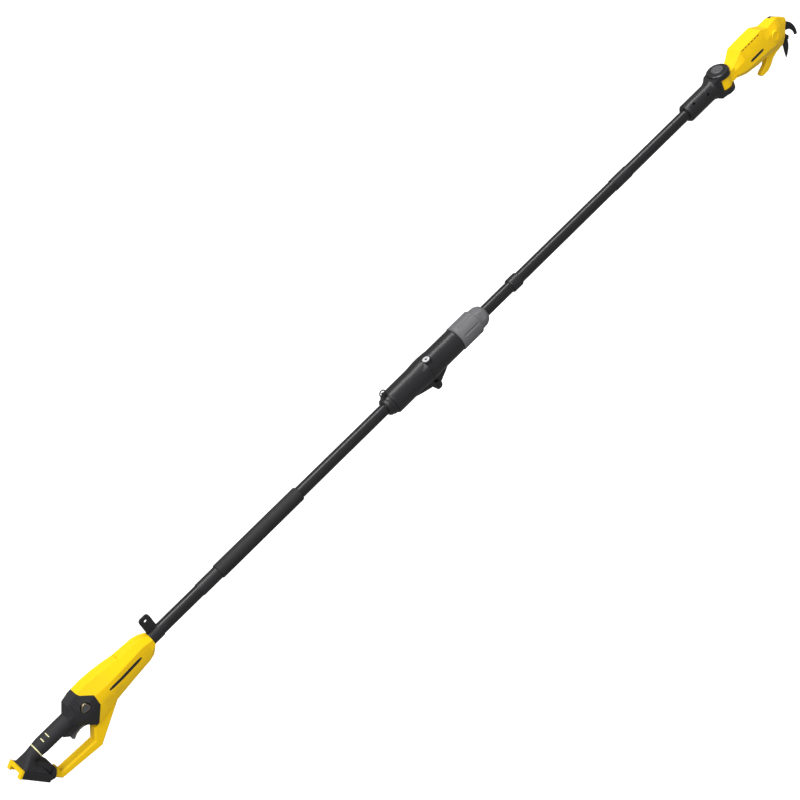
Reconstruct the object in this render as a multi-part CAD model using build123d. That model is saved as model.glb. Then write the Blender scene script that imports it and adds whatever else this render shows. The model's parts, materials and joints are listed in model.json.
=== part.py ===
from build123d import *
import os
from math import acos, cos, pi, radians, sin, tan

# Cordless pole pruner: D-handle, lower pole, folding coupler, telescoping upper pole, tilting head.
# Millimetres. Origin: middle of the grip on the pole's axis. +X towards the blades, +Z up, away from the trigger.

# ---- fits
run = 0.05            # radial clearance of a pin or tube that turns or slides
seat = 0.02           # radial clearance of a fixed piece in its seat
slide_gap = 0.4       # radial air between the sliding tubes
split_gap = 0.25      # half the air between the coupler's two faces

# ---- poles
tube_od = 28.0
tube_wall = 1.3
inner_wall = 1.2
lower_visible = 719.0     # handle nose to coupler
upper_visible = 737.0     # lock collar to neck
slide_travel = 500.0
slide_overlap = 130.0     # inner tube left inside the upper tube when fully out

# ---- handle
grip_r = 17.8
grip_rear = -50.0
grip_front = 62.0
shell_wall = 3.0
housing_half = 27.0       # widest half width of the yellow housing
nose_x = 293.0            # front face of the housing
guard_half = 13.0         # half width of the guard bow
foot_slope = 59.0         # degrees between the battery slide and the pole
foot_length = 70.0
foot_width = 56.0
foot_thick = 17.0
rail_lip = 5.0
trigger_half = 7.0
trigger_x = 82.0          # trigger pin
trigger_z = -15.0
button_x = 100.0          # lock-off button
button_z = 11.0
button_r = 10.7
screw_r = 1.8
screw_head_r = 3.5

# ---- hang tab and grips on the lower pole
clamp_length = 29.0
tab_top = 55.5
tab_half = 13.3
tab_thick = 5.0
hang_hole_r = 4.0
ferrule_start = 144.0     # from the handle nose
ferrule_length = 55.0
ferrule_wall = 1.3
foam_length = 246.0
foam_wall = 3.5

# ---- folding coupler
coupler_r = 29.5
flare_r = 31.5
coupler_lower_length = 130.0
coupler_upper_length = 103.0
hinge_offset = 6.0        # hinge pin past the split
hinge_drop = 47.0         # hinge pin below the pole's axis
hinge_r = 10.0
hinge_pin_r = 4.0
ear_inner = 9.0
ear_outer = 17.0
ring_lift = 33.5          # strap ring's pivot above the pole's axis
ring_bend = 7.8           # bend of the strap ring
ring_wire = 1.5
release_r = 8.5           # ring around the release button
release_y = -13.0
release_offset = 9.2      # button centre past the split
release_top = 31.2

# ---- lock collar
collar_r = 31.0
collar_nose_r = 25.5
collar_length = 94.0
collar_gap = 0.8
collet_wall = 8.0

# ---- upper pole
stop_ring_start = 92.0    # from the collar's nose
stop_ring_length = 30.0
stop_ring_wall = 3.3
upper_ferrule_start = 462.0
upper_ferrule_length = 56.0
neck_length = 103.0
neck_r = 23.5
knuckle_offset = 33.0     # tilt axis past the neck
knuckle_r = 29.0
tongue_half = 15.0
cheek_top = 26.0
cheek_bottom = -29.0
tilt_pin_r = 5.0
knob_top = 31.0
knob_bore = 16.4
tilt_button_r = 15.8

# ---- head, measured from the tilt axis
head_wall = 3.0
head_half = 28.0          # widest half width
head_length = 250.0
pivot_x = 234.0           # blade pivot
pivot_z = -41.0
bolt_r = 4.0
hook_thick = 4.0
blade_thick = 3.2
blade_gap = 0.1
nut_height = 9.0
gear_module = 1.5
sector_teeth = 24
pinion_teeth = 12
mesh_angle = 160.0        # direction from pivot to pinion, degrees
motor_r = 14.0
motor_length = 40.0
gearbox_r = 16.0
gearbox_length = 32.0

# ---- places worked out from the sizes above
tube_r = tube_od / 2
inner_r = tube_r - tube_wall - slide_gap
ferrule_r = tube_r + ferrule_wall
foam_r = tube_r + foam_wall
stop_ring_r = tube_r + stop_ring_wall
collet_r = tube_r + collet_wall
coupler_x = nose_x + lower_visible
split_x = coupler_x + coupler_lower_length
hinge_x = split_x + hinge_offset
coupler_end = split_x + coupler_upper_length
collar_x = coupler_end + collar_gap
collar_end = collar_x + collar_length
neck_x = collar_end + upper_visible
neck_end = neck_x + neck_length
tilt_x = neck_end + knuckle_offset
bolt_x = tilt_x + pivot_x
pinion_reach = gear_module * (sector_teeth + pinion_teeth) / 2
pinion_room = gear_module * (pinion_teeth / 2 + 0.85) + 0.7
pinion_x = bolt_x + pinion_reach * cos(radians(mesh_angle))
pinion_z = pivot_z + pinion_reach * sin(radians(mesh_angle))
foot_top = (grip_rear - 20.9, 3.4)   # upper rear corner of the battery foot in side view
channel_half = foot_width / 2 - 3    # half width of the channel the rail lines


# ---- shape helpers
def rod(x0, x1, r, y=0.0, z=0.0):
    return Pos((x0 + x1) / 2, y, z) * Rot(0, 90, 0) * Cylinder(r, x1 - x0)


def pipe(x0, x1, outer, bore):
    return rod(x0, x1, outer) - rod(x0 - 1, x1 + 1, bore)


def across(x, z, r, y0, y1):
    return Pos(x, (y0 + y1) / 2, z) * Rot(90, 0, 0) * Cylinder(r, y1 - y0)


def upright(x, y, r, z0, z1):
    return Pos(x, y, (z0 + z1) / 2) * Cylinder(r, z1 - z0)


def block(x0, x1, y0, y1, z0, z1):
    return Pos((x0 + x1) / 2, (y0 + y1) / 2, (z0 + z1) / 2) * Box(x1 - x0, y1 - y0, z1 - z0)


def turned(outline):
    # outline of (x, radius) pairs, turned about the pole's axis
    return revolve(make_face(Polyline(*outline, close=True)), Axis.X, 360)


def side_plane(y):
    return Plane(origin=(0, y, 0), x_dir=(1, 0, 0), z_dir=(0, -1, 0))


def plate(outline, y0, y1):
    # side-view outline of (x, z) pairs with its thickness across the object
    return extrude(side_plane(y1) * make_face(Polyline(*outline, close=True)), amount=y1 - y0)


def eight(x, top, side, bottom, inset=0.0):
    # eight-sided cross-section: top (half width, z), side (half width, upper z, lower z), bottom (half width, z)
    points = [(top[0] - inset / 2, top[1] - inset), (side[0] - inset, side[1]),
              (side[0] - inset, side[2]), (bottom[0] - inset / 2, bottom[1] + inset)]
    points += [(-y, z) for y, z in reversed(points)]
    return Plane(origin=(x, 0, 0), x_dir=(0, 1, 0), z_dir=(1, 0, 0)) * make_face(Polyline(*points, close=True))


def faceted(sections, inset=0.0):
    return loft([eight(*section, inset) for section in sections], ruled=True)


def coil(length, outer, wire=1.2, turns=5):
    # spring along Z from 0, as rings that touch
    pitch = length / turns
    outline = [(outer - wire, 0)]
    for i in range(turns):
        outline += [(outer - wire / 2, i * pitch), (outer, (i + 0.5) * pitch)]
    outline += [(outer - wire / 2, length), (outer - wire, length)]
    plane = Plane(origin=(0, 0, 0), x_dir=(1, 0, 0), z_dir=(0, -1, 0))
    return revolve(plane * make_face(Polyline(*outline, close=True)), Axis.Z, 360)


def halves(solid, reach=400.0):
    # the left (+Y) and right (-Y) shells of a split case
    box = solid.bounding_box()
    right = solid & block(box.min.X - 1, box.max.X + 1, -reach, 0, box.min.Z - 1, box.max.Z + 1)
    left = solid & block(box.min.X - 1, box.max.X + 1, 0, reach, box.min.Z - 1, box.max.Z + 1)
    return left, right


def gear_outline(teeth, phase, backlash=0.3, flank=4):
    # involute teeth in side view about (0, 0); phase is the direction of one tooth, degrees
    pitch_r = gear_module * teeth / 2
    pressure = radians(25)
    base_r = pitch_r * cos(pressure)
    root_r = pitch_r - 1.15 * gear_module
    tip_r = pitch_r + 0.85 * gear_module
    start_r = max(base_r, root_r)
    half = pi / 2 / teeth - backlash / (2 * pitch_r)
    points = []
    for tooth in range(teeth):
        centre = radians(phase) + 2 * pi * tooth / teeth
        side = []
        for i in range(flank + 1):
            r = start_r + (tip_r - start_r) * i / flank
            turn = acos(min(1.0, base_r / r))
            side.append((r, half - (tan(turn) - turn) + (tan(pressure) - pressure)))
        side = [(root_r, side[0][1] + 0.02)] + side
        for r, a in side:
            points.append((r * cos(centre - a), r * sin(centre - a)))
        for r, a in reversed(side):
            points.append((r * cos(centre + a), r * sin(centre + a)))
    return points


def screw_set(places, y_head, y_tip):
    # screws along Y: head at y_head, shank to y_tip
    sign = 1 if y_head > y_tip else -1
    solids = []
    for x, z in places:
        head = across(x, z, screw_head_r, *sorted((y_head, y_head - 2.5 * sign)))
        shank = across(x, z, screw_r, *sorted((y_head - 2.5 * sign, y_tip)))
        slot = block(x - 2.4, x + 2.4, *sorted((y_head + 1, y_head - 1.2 * sign)), z - 0.5, z + 0.5)
        cross = block(x - 0.5, x + 0.5, *sorted((y_head + 1, y_head - 1.2 * sign)), z - 2.4, z + 2.4)
        solids.append(head + shank - slot - cross)
    return Compound(solids)


def screw_room(places, y_head, y_tip):
    # counterbore and hole for each screw of a set
    sign = 1 if y_head > y_tip else -1
    room = []
    for x, z in places:
        room.append(across(x, z, screw_head_r + 0.3, *sorted((y_head + 60 * sign, y_head - 2.5 * sign))))
        room.append(across(x, z, screw_r + seat, *sorted((y_head, y_tip - sign))))
    return room


def save(shape, name):
    export_step(shape, "parts/" + name + ".step")


# ---- handle
def slope_point(along, deep):
    # point of the battery foot in side view: distance down its slope, depth under its upper face
    c, s = cos(radians(foot_slope)), sin(radians(foot_slope))
    return (foot_top[0] + along * c - deep * s, foot_top[1] - along * s - deep * c)


def slope_plate(a0, a1, d0, d1, y0, y1):
    corners = [slope_point(a0, d0), slope_point(a1, d0), slope_point(a1, d1), slope_point(a0, d1)]
    return plate(corners, y0, y1)


def housing_sections():
    h = housing_half
    front = nose_x - 79
    reach = front - 97
    nose_r = tube_r + 2.4
    return [
        (grip_front - 2, (7.4, grip_r), (grip_r, 7.4, -7.4), (7.4, -grip_r)),
        (76, (12, 36.5), (h - 4, 13, -12), (14, -27)),
        (97, (13, 41.5), (h, 14, -12), (19, -51)),
        (97 + reach * 0.274, (13, 43), (h, 14, -10), (18, -46.5)),
        (97 + reach * 0.547, (13, 40.5), (h, 14, -9), (16.5, -42)),
        (97 + reach * 0.82, (12, 35.6), (h - 0.5, 14, -9), (15.5, -38.5)),
        (front, (12, 31), (h - 2, 14, -10), (15, -36)),
        (nose_x - 30, (10, 29), (h - 6, 14, -13), (13, -32.3)),
        (nose_x - 15, (9, 25), (h - 8, 11, -13), (12, -28.4)),
        (nose_x - 5, (8, nose_r + 3), (nose_r + 1.6, 8, -10), (9, -nose_r - 4.2)),
        (nose_x, (7, nose_r), (nose_r, 7, -7), (7, -nose_r)),
    ]


def panel_outline(grow=0.0):
    # side view of the black shells: everything behind this front edge
    rear = grip_rear - 60
    return [(rear, 90), (103 + grow, 90), (103 + grow, 46), (107.5 + grow, 36), (129 + grow, 18),
            (127 + grow, -11), (103 + grow, -49.5), (97 + grow, -58), (60, -58), (rear, -58)]


guard_outline = [(-31, -64), (-35, -78), (-24, -95), (79, -107), (163, -47), (152, -34), (108, -36),
                 (92, -52), (72, -84), (-18, -79), (-17, -66)]
case_screws = [(118, -30), (150, 27), (172, -25), (nose_x - 88, 21), (nose_x - 88, -20), (20, -90), (120, -60)]
tube_depth = 68.0         # lower tube inside the nose


def handle_shells():
    outer = faceted(housing_sections())
    inside = faceted(housing_sections()[:7], shell_wall)
    guard = plate(guard_outline, -guard_half, guard_half)
    long_edges = [e for e in guard.edges() if abs(abs(e.center().Y) - guard_half) < 0.01]
    guard = chamfer(long_edges, 3.5)
    notch = plate([(nose_x - 84, 36), (nose_x - 79, 29), (nose_x - 74, 36)], -30, 30)
    tube_bore = rod(nose_x - tube_depth, nose_x + 1, tube_r + seat)

    bosses = [across(x, z, 6, -60, 60) & outer for x, z in case_screws[:5]]
    yellow = outer - notch - inside
    for boss in bosses:
        yellow += boss
    yellow += guard
    yellow -= plate(panel_outline(0.3), -60, 60)
    yellow -= tube_bore
    yellow -= block(80, nose_x - 80, -11.6, 11.6, 5.4, 10)

    waist_x = grip_rear + 10
    waist_r = grip_r - 3.5
    grip = turned([(waist_x, 0), (waist_x, waist_r), (waist_x + 10, waist_r + 1.2), (waist_x + 30, grip_r),
                   (grip_front + 4, grip_r), (grip_front + 4, 0)])
    hollow = rod(waist_x + 32, grip_front + 5, grip_r - shell_wall)
    bay = plate([(30, -8), (30, -16), (41, -27), (90, -27), (90, -8)], -12.5, 12.5)
    foot_face = Plane(origin=(slope_point(foot_length / 2, 0)[0], 0, slope_point(foot_length / 2, 0)[1]),
                      x_dir=(cos(radians(foot_slope)), 0, -sin(radians(foot_slope))),
                      z_dir=(sin(radians(foot_slope)), 0, cos(radians(foot_slope))))
    waist_face = Plane(origin=(waist_x, 0, 0), x_dir=(0, 0, -1), z_dir=(1, 0, 0))
    saddle = loft([foot_face * RectangleRounded(foot_length - 4, foot_width - 8, 6),
                   waist_face * Circle(waist_r)])
    saddle += plate([(waist_x - 2, -waist_r + 4), (waist_x + 3, -waist_r + 1), slope_point(foot_length - 12, -20),
                     slope_point(foot_length - 0.05, -15.7), slope_point(foot_length - 0.05, 0)], -16, 16)
    rear = outer & plate(panel_outline(), -60, 60)
    black = rear - inside + grip - hollow + bay + saddle
    pocket = block(39.4, 86.5, -trigger_half - 0.8, trigger_half + 0.8, -60, -4)
    black -= pocket
    black -= across(trigger_x, trigger_z, 2 + seat, -10.5, 10.5)
    black -= across(button_x, button_z, button_r + 0.4, -40, -15)
    for hole in screw_room(case_screws, 11, -9):
        yellow -= hole
    return halves(yellow), halves(black)


def battery_foot():
    body = slope_plate(0, foot_length, 0, foot_thick, -foot_width / 2, foot_width / 2)
    nose = plate([slope_point(foot_length, 0), slope_point(foot_length, -15.7), slope_point(foot_length + 6, -12),
                  slope_point(foot_length + 11, -2), slope_point(foot_length + 12, 8),
                  slope_point(foot_length, foot_thick)], 5 - foot_width / 2, foot_width / 2 - 5)
    body += nose
    body -= slope_plate(-2, foot_length - 8, 5, foot_thick + 2, -channel_half, channel_half)
    return body


def battery_rail():
    # U-shaped liner of the battery slide with its rim at the rear end
    outer_half = channel_half - 0.1
    inner_half = outer_half - 2.9
    lip_half = inner_half - 4.5
    liner = slope_plate(-0.1, foot_length - 8.3, 5, foot_thick - 0.5, -outer_half, outer_half)
    liner -= slope_plate(-2, foot_length + 2, 8, foot_thick + 1, -inner_half, inner_half)
    for side in (-1, 1):
        lip = sorted((side * (inner_half + 0.2), side * lip_half))
        liner += slope_plate(0, foot_length - 8.3, foot_thick - 3, foot_thick - 0.5, *lip)
    rim = slope_plate(-rail_lip, -0.05, -0.5, foot_thick + 0.5, -foot_width / 2, foot_width / 2)
    rim -= slope_plate(-rail_lip - 1, 1, 8, foot_thick + 1, -lip_half, lip_half)
    return liner + rim


def terminal_parts():
    carrier = slope_plate(18, 50, 8.1, 12.5, -14, 14)
    blades = [slope_plate(22, 46, 12.6, 15.5, y - 0.4, y + 0.4) for y in (-9, -3, 3, 9)]
    return carrier, Compound(blades)


def trigger_parts():
    outline = [(42, -11), (84, -11), (84.5, -43), (76, -38.5), (66, -37), (55, -39.5), (46, -45.5), (41.8, -41)]
    body = plate(outline, -trigger_half, trigger_half)
    body -= across(trigger_x, trigger_z, 2 + run, -10, 10)
    pin = across(trigger_x, trigger_z, 2, -10, 10)
    spring = Pos(52, 0, -10.9) * coil(8.7, 3.2)
    return body, pin, spring


def lock_off_parts():
    cap = across(button_x, button_z, button_r, -housing_half - 1.5, -18)
    cap -= across(button_x, button_z, 5.4, -25.5, -17)
    spring = Pos(button_x, -22.3, button_z) * Rot(-90, 0, 0) * coil(12.2, 5)
    return cap, spring


def switch_parts():
    switch = block(62, 84, -8, 8, -2, 11)
    board = block(112, 170, -17, 17, 1.4, 3.0)
    board += block(118, 134, -8, 8, 3.0, 12) + block(142, 152, -14, -6, 3.0, 9) + rod(156, 166, 4, 8, 6.5)
    return switch, board


# ---- lower pole
def hang_tab():
    x0 = nose_x + 0.3
    x1 = x0 + clamp_length
    ring = pipe(x0, x1, tube_r + 1.7, tube_r + seat)
    mid = (x0 + x1) / 2
    tab = block(mid - tab_half, mid + tab_half, -tab_thick / 2, tab_thick / 2, tube_r + 1, tab_top - 8)
    tab += block(mid - tab_half + 6, mid + tab_half - 6, -tab_thick / 2, tab_thick / 2, tab_top - 9, tab_top)
    for side in (-1, 1):
        tab += across(mid + side * (tab_half - 8), tab_top - 8, 8, -tab_thick / 2, tab_thick / 2)
    tab -= across(mid, tab_top - 12, hang_hole_r, -tab_thick, tab_thick)
    ring += tab
    ring += block(mid - 6, mid + 6, tube_r + 1, tube_r + 6, -7, 7) - rod(x0, x1, tube_r + 1)
    ring -= across(mid, 0, screw_r + seat, tube_r - 2, tube_r + 7)
    screw = across(mid, 0, screw_r, tube_r + 0.1, tube_r + 6) + across(mid, 0, 3, tube_r + 6, tube_r + 8)
    return ring, screw


def lower_pole():
    tube = pipe(nose_x - tube_depth + 0.3, split_x - 30, tube_r, tube_r - tube_wall)
    x0 = nose_x + ferrule_start
    x1 = x0 + ferrule_length
    ferrule = pipe(x0, x1, ferrule_r, tube_r + seat)
    r0 = tube_r + seat
    x2 = x1 + foam_length
    foam = turned([(x1 + 0.1, r0), (x1 + 0.1, foam_r - 1), (x1 + 2, foam_r), (x2 - 3, foam_r), (x2, foam_r - 1.5),
                   (x2, r0)])
    return tube, ferrule, foam


# ---- folding coupler
def hinge_ear(y0, y1):
    # gusset and knuckle under the lower half
    top = -coupler_r + 5
    outline = [(split_x - 56, top), (split_x - 38, -coupler_r - 1), (hinge_x - hinge_r - 3, -hinge_drop + 8),
               (hinge_x - hinge_r, -hinge_drop), (hinge_x, -hinge_drop), (hinge_x, -hinge_drop + hinge_r - 0.5),
               (split_x - split_gap, -hinge_drop + hinge_r + 1), (split_x - split_gap, top)]
    return plate(outline, y0, y1) + across(hinge_x, -hinge_drop, hinge_r, y0, y1)


def hinge_tongue(y0, y1):
    # gusset and knuckle under the upper half
    top = -coupler_r + 5
    face = split_x + split_gap
    outline = [(face, top), (face, -hinge_drop + 6), (hinge_x, -hinge_drop), (hinge_x + 8, -hinge_drop - 6),
               (hinge_x + 15, -hinge_drop - 3), (hinge_x + 38, -coupler_r - 7), (hinge_x + 54, top)]
    return plate(outline, y0, y1) + across(hinge_x, -hinge_drop, hinge_r, y0, y1)


def shoulder_swell(x_small, x_large):
    # swelling on the near upper side of the coupler, highest at the split
    length = x_large - x_small
    turn = 90 if length > 0 else -90
    return Pos((x_small + x_large) / 2, -13, 9) * Rot(0, turn, 0) * Cone(8, 18.5, abs(length))


def coupler_parts():
    x0 = coupler_x
    bore = tube_r + seat
    cap_end = x0 + 17.9
    cap = turned([(x0, bore), (x0, bore + 5), (x0 + 3, bore + 7.5), (x0 + 9, bore + 8.5), (x0 + 10, bore + 10.5),
                  (cap_end, bore + 11), (cap_end, bore)])
    ring_x = x0 + 13
    cap += block(ring_x - 2.5, ring_x + 2.5, -4, 4, tube_r + 6, ring_lift + 3)
    cap -= rod(ring_x - 4, ring_x + 4, ring_wire + run, 0, ring_lift)
    arch = ring_lift + 3
    ring = Pos(ring_x, 0, arch) * Rot(90, 0, 0) * Torus(ring_bend, ring_wire)
    ring -= block(ring_x - 20, ring_x + 20, -9, 9, arch - 30, arch - 0.1)
    ring += rod(ring_x - ring_bend, ring_x + ring_bend, ring_wire, 0, ring_lift)
    for x in (ring_x - ring_bend, ring_x + ring_bend):
        ring += upright(x, 0, ring_wire, ring_lift - ring_wire, arch)

    end = split_x
    face = end - split_gap
    lower = turned([(x0 + 18, bore), (x0 + 18, coupler_r - 2.5), (x0 + 22, coupler_r), (end - 36, coupler_r),
                    (end - 8, flare_r), (face, flare_r), (face, 0), (end - 29.9, 0), (end - 29.9, bore)])
    lower += shoulder_swell(end - 52, face) - rod(end - 60, end - 29.9, bore)
    for y0, y1 in ((-ear_outer, -ear_inner), (ear_inner, ear_outer)):
        lower += hinge_ear(y0, y1)
    lower -= block(end - 12, end + 1, release_y - 5, release_y + 5, 2, 14)
    lower -= across(hinge_x, -hinge_drop, hinge_pin_r + seat, -20, 20)
    pin = across(hinge_x, -hinge_drop, hinge_pin_r, -ear_outer - 1.5, ear_outer + 1.5)
    return cap, ring, lower, pin


def release_parts():
    x = split_x + release_offset
    ring = upright(x, release_y, release_r, 24, release_top) - upright(x, release_y, 5.4, 23, release_top + 1)
    cap = upright(x, release_y, 5.0, 23, release_top - 0.6) - upright(x, release_y, 2.5, release_top - 2, release_top)
    cap += upright(x, release_y, 3.0, 13, 23)
    bolt = block(split_x - 6, x + 4, release_y - 4, release_y + 4, 8, 12.95)
    bolt += block(split_x - 6, split_x - 3, release_y - 4, release_y + 4, 7, 9)
    spring = Pos(x, release_y, 1.1) * coil(6.8, 3.5)
    return ring, cap, bolt, spring


def coupler_upper():
    x0 = split_x
    end = coupler_end
    face = x0 + split_gap
    body = turned([(face, 0), (face, flare_r), (x0 + 8, flare_r), (x0 + 34, coupler_r),
                   (end - 2, coupler_r), (end, coupler_r - 2), (end, inner_r + seat), (x0 + 32, inner_r + seat),
                   (x0 + 32, 0)])
    body += shoulder_swell(x0 + 44, face) - rod(x0 + 32, x0 + 60, inner_r + seat)
    body += hinge_tongue(-ear_inner + 0.3, ear_inner - 0.3)
    x = x0 + release_offset
    boss = upright(x, release_y, release_r + 2.5, 12, release_top - 1.2)
    body += boss & block(face, x + 20, -40, 40, 0, 60)
    body -= block(x0 - 1, x0 + 20, release_y - 4.6, release_y + 4.6, 1, 13.4)
    body -= upright(x, release_y, 3.3, 12, 30)
    body -= upright(x, release_y, 5.4, 19.5, 40)
    body -= upright(x, release_y, release_r + 0.15, 23.9, 40)
    body -= across(hinge_x, -hinge_drop, hinge_pin_r + run, -20, 20)
    return body


# ---- telescoping upper pole
tube_start = 12.0         # upper tube's end inside the collar


def upper_pole_parts():
    moving_start = collar_x + tube_start
    inner_end = moving_start + slide_travel + slide_overlap
    inner = pipe(split_x + 32.1, inner_end, inner_r, inner_r - inner_wall)
    bush = pipe(inner_end + 0.1, inner_end + 22, tube_r - tube_wall - run, inner_r - inner_wall - 2)
    bush += pipe(inner_end - 14, inner_end + 0.2, inner_r - inner_wall - seat, inner_r - inner_wall - 2)
    tube = pipe(moving_start, neck_x + 40, tube_r, tube_r - tube_wall)
    x0 = collar_x + 4
    collet = turned([(x0, inner_r + run), (x0, collet_r - 1), (x0 + 2, collet_r), (x0 + 38, collet_r - 3),
                     (x0 + 44, collet_r - 5), (x0 + 44, tube_r + seat), (moving_start - 0.1, tube_r + seat),
                     (moving_start - 0.1, inner_r + run)])
    slots = [Rot(angle, 0, 0) * block(x0 - 1, x0 + 6, -1, 1, inner_r + 2, collet_r + 1) for angle in (0, 90, 180, 270)]
    for slot in slots:
        collet -= slot
    s0 = collar_end + stop_ring_start
    s1 = s0 + stop_ring_length
    stop = turned([(s0, tube_r + seat), (s0, stop_ring_r - 1.2), (s0 + 2, stop_ring_r), (s1 - 2, stop_ring_r),
                   (s1, stop_ring_r - 1.2), (s1, tube_r + seat)])
    f0 = collar_end + upper_ferrule_start
    ferrule = pipe(f0, f0 + upper_ferrule_length, ferrule_r, tube_r + seat)
    return inner, bush, tube, collet, stop, ferrule


def lock_collar():
    x0 = collar_x
    x1 = collar_end
    shoulder = x0 + 64
    body = turned([(x0, collet_r + 2.5), (x0, collar_r - 2), (x0 + 2, collar_r), (shoulder - 3, collar_r),
                   (shoulder, collar_r - 2), (shoulder + 1, collar_nose_r + 1.5), (x1 - 11, collar_nose_r),
                   (x1 - 3, collar_nose_r - 4), (x1, collar_nose_r - 7), (x1, tube_r + run),
                   (x0 + 52, tube_r + run), (x0 + 52, collet_r + 1),
                   (x0 + 3, collet_r + 1), (x0 + 3, collet_r + 2.5)])
    for i in range(8):
        groove = rod(x0 + 12, shoulder - 6, 4.5, 0, collar_r + 3)
        body -= Rot(i * 45 + 22.5, 0, 0) * groove
    for i in range(6):
        body -= Rot(i * 60, 0, 0) * block(shoulder + 6, x1 + 1, -9, 9, collar_nose_r - 1.2, collar_nose_r + 6)
    return body


neck_screws = [(23.0, tube_r + 3.5), (69.0, tube_r - 2.7)]       # along the neck, height
neck_screw_head = -13.0


def neck_shells():
    x0 = neck_x
    x1 = neck_end
    reach = tilt_x
    slot = tongue_half + 0.6
    body = turned([(x0, 0), (x0, neck_r - 4), (x0 + 5, neck_r), (x1 - 15, neck_r), (x1 - 7, neck_r + 2.8),
                   (x1 - 4, neck_r + 2.8), (x1 - 1, neck_r - 3), (x1 + 4, neck_r - 6), (x1 + 4, 0)])
    cheeks = plate([(x1 - 12, 18), (x1 + 3, cheek_top), (reach, cheek_top), (reach, cheek_bottom),
                    (x1 + 3, cheek_bottom), (x1 - 12, -18)], -60, 60)
    plan = Polyline((x1 - 13, -14), (x1 + 4, -22), (reach - 8, 2 - knuckle_r), (reach, 1 - knuckle_r),
                    (reach, knuckle_r - 1), (reach - 8, knuckle_r - 2), (x1 + 4, 22), (x1 - 13, 14), close=True)
    body += cheeks & (Pos(0, 0, -60) * extrude(make_face(plan), amount=120))
    for x in (x0 + 31, x0 + 69):
        body += upright(x, 0, 4, -neck_r - 1.8, -neck_r + 3)
    body += upright(reach, 0, knuckle_r, slot, cheek_top)
    body += upright(reach, 0, knuckle_r, cheek_bottom, -slot)
    body -= upright(reach, 0, knuckle_r - 2, -slot, slot)
    body -= block(reach - 19, reach + 60, -60, 60, -slot, slot)
    body -= rod(x0 - 1, x0 + 40.2, tube_r + seat)
    body -= rod(x0 + 44, x1 - 16, tube_r - 6)
    body -= upright(reach, 0, tilt_pin_r + seat, -40, 40)
    body -= upright(reach, 0, 12.1, slot - 0.1, slot + 3.1)
    body -= upright(reach, 0, 10, slot + 3, 40)
    places = [(x0 + x, z) for x, z in neck_screws]
    for hole in screw_room(places, neck_screw_head, 9):
        body -= hole
    return halves(body), screw_set(places, neck_screw_head, 9)


def tilt_parts():
    pin = upright(tilt_x, 0, tilt_pin_r, cheek_bottom + 0.5, tongue_half + 0.1)
    slot = tongue_half + 0.6
    ring = upright(tilt_x, 0, 12, slot + 0.1, slot + 2.9) - upright(tilt_x, 0, 6.5, slot, slot + 3)
    for i in range(12):
        notch = Rot(0, 0, i * 30) * block(9.6, 13, -1, 1, slot, slot + 1.4)
        ring -= Pos(tilt_x, 0, 0) * notch
    knob = upright(tilt_x, 0, knuckle_r - 0.5, cheek_top + 0.05, knob_top)
    knob = chamfer(knob.edges().group_by(Axis.Z)[-1], 2.5)
    knob -= upright(tilt_x, 0, knob_bore, cheek_top, knob_top + 1)
    button = upright(tilt_x, 0, tilt_button_r, cheek_top + 4, knob_top + 3.5)
    button = chamfer(button.edges().group_by(Axis.Z)[-1], 1.8)
    button += upright(tilt_x, 0, 5.0, cheek_top + 1.2, cheek_top + 4)
    spring = Pos(tilt_x, 0, slot + 3.1) * coil(cheek_top + 4 - slot - 3.2, 8.5)
    return pin, ring, knob, button, spring


# ---- head
def head_sections():
    t = tilt_x
    h = head_half
    return [
        (t + 34, (13, 15.5), (20, 6, -8), (14, -17)),
        (t + 50, (18, 23), (h - 4, 9, -11), (16, -22)),
        (t + 70, (21, 39.5), (h, 12, -14), (17, -29)),
        (t + 116, (21, 41), (h, 12, -16), (16, -36)),
        (t + 152, (20, 42), (h, 12, -18), (15, -38)),
        (t + 178, (17, 29), (h - 2, 10, -22), (13, -43)),
        (t + 208, (14, 30.5), (h - 6, 8, -24), (11, -50)),
        (t + 222, (12, 28), (h - 11, 6, -24), (10, -50)),
        (t + head_length, (7, 8), (9, 3, -24), (8, -50)),
    ]


def front_cut():
    t = tilt_x
    return plate([(t + 290, -1), (t + head_length, -1), (t + 237, -14), (t + 226, -36), (t + 217, -47),
                  (t + 212, -70), (t + 290, -70)], -60, 60)


def finger_outline():
    # branch hook that points back along the head's underside
    t = tilt_x
    return [(t + 163, -34), (t + 157, -48), (t + 145, -61.5), (t + 129, -68.5), (t + 123.5, -71.5),
            (t + 122, -75.5), (t + 124, -79.5), (t + 130, -81.5), (t + 148, -81), (t + 161, -75.5),
            (t + 178, -62), (t + 192, -57),
            (t + 214, -54), (t + 214, -47), (t + 200, -34)]


head_screws = [(84.0, 30.0), (84.0, -22.5), (140.0, 30.0), (146.0, -27.0), (200.0, 16.0)]


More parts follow.
